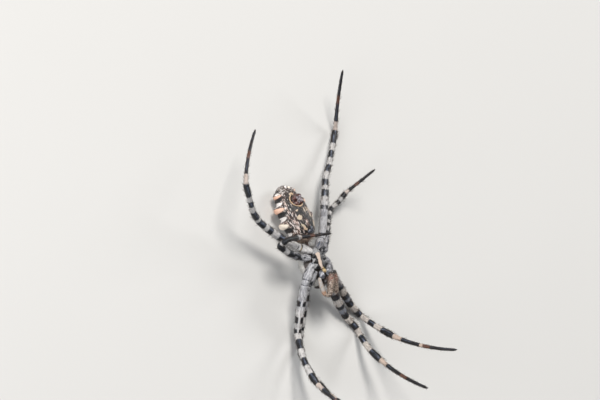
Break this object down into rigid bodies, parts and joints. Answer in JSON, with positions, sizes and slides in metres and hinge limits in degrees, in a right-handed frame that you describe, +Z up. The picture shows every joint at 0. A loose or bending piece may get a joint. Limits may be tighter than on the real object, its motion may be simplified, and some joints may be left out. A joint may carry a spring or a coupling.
{
  "type": "lobed argiope orb weaver spider, life-size still model",
  "caption": "Long-legged orb weaver spider lying belly up, lobed abdomen, banded legs, still display model in the pose it holds on its web.",
  "frame": {"origin": "middle of the bounding box's footprint, on the floor the spider lies on", "axes": "+Y from head to tail, +X to the spider's own right, +Z up, the way the belly faces"},
  "size_m": [0.0376, 0.0634, 0.0209],
  "materials": {
    "silver_hair": "dense short silvery hair over dark chitin",
    "banded_leg": "silvery hair in rings, with glossy black rings between",
    "belly_mottle": "soft glossy skin mottled black, white, cream and brown, with orange side lobes",
    "dark_plate": "glossy black chitin with fine hair",
    "palp_cream": "cream chitin with brown hair towards the tips",
    "spinneret_brown": "glossy reddish brown",
    "eye_black": "wet glossy black"
  },
  "bodies": {
    "root": {"carapace": "silver_hair", "sternum": "dark_plate", "labium": "dark_plate", "endite_L": "dark_plate", "endite_R": "dark_plate", "chelicera_L": "dark_plate", "chelicera_R": "dark_plate", "palp_L_upper": "palp_cream", "palp_L_lower": "palp_cream", "palp_R_upper": "palp_cream", "palp_R_lower": "palp_cream", "pedicel": "dark_plate", "abdomen": "belly_mottle", "spinnerets": "spinneret_brown", "epigynum": "dark_plate", "eye_front_middle_L": "eye_black", "eye_front_middle_R": "eye_black", "eye_back_middle_L": "eye_black", "eye_back_middle_R": "eye_black", "eye_front_side_L": "eye_black", "eye_front_side_R": "eye_black", "eye_back_side_L": "eye_black", "eye_back_side_R": "eye_black", "leg_L1_coxa": "silver_hair", "leg_L1_femur": "banded_leg", "leg_L1_tibia": "banded_leg", "leg_L1_metatarsus": "banded_leg", "leg_L2_coxa": "silver_hair", "leg_L2_femur": "banded_leg", "leg_L2_tibia": "banded_leg", "leg_L2_metatarsus": "banded_leg", "leg_L3_coxa": "silver_hair", "leg_L3_femur": "banded_leg", "leg_L3_tibia": "banded_leg", "leg_L3_metatarsus": "banded_leg", "leg_L4_coxa": "silver_hair", "leg_L4_femur": "banded_leg", "leg_L4_tibia": "banded_leg", "leg_L4_metatarsus": "banded_leg", "leg_R1_coxa": "silver_hair", "leg_R1_femur": "banded_leg", "leg_R1_tibia": "banded_leg", "leg_R1_metatarsus": "banded_leg", "leg_R2_coxa": "silver_hair", "leg_R2_femur": "banded_leg", "leg_R2_tibia": "banded_leg", "leg_R2_metatarsus": "banded_leg", "leg_R3_coxa": "silver_hair", "leg_R3_femur": "banded_leg", "leg_R3_tibia": "banded_leg", "leg_R3_metatarsus": "banded_leg", "leg_R4_coxa": "silver_hair", "leg_R4_femur": "banded_leg", "leg_R4_tibia": "banded_leg", "leg_R4_metatarsus": "banded_leg"}
  },
  "joints": []
}
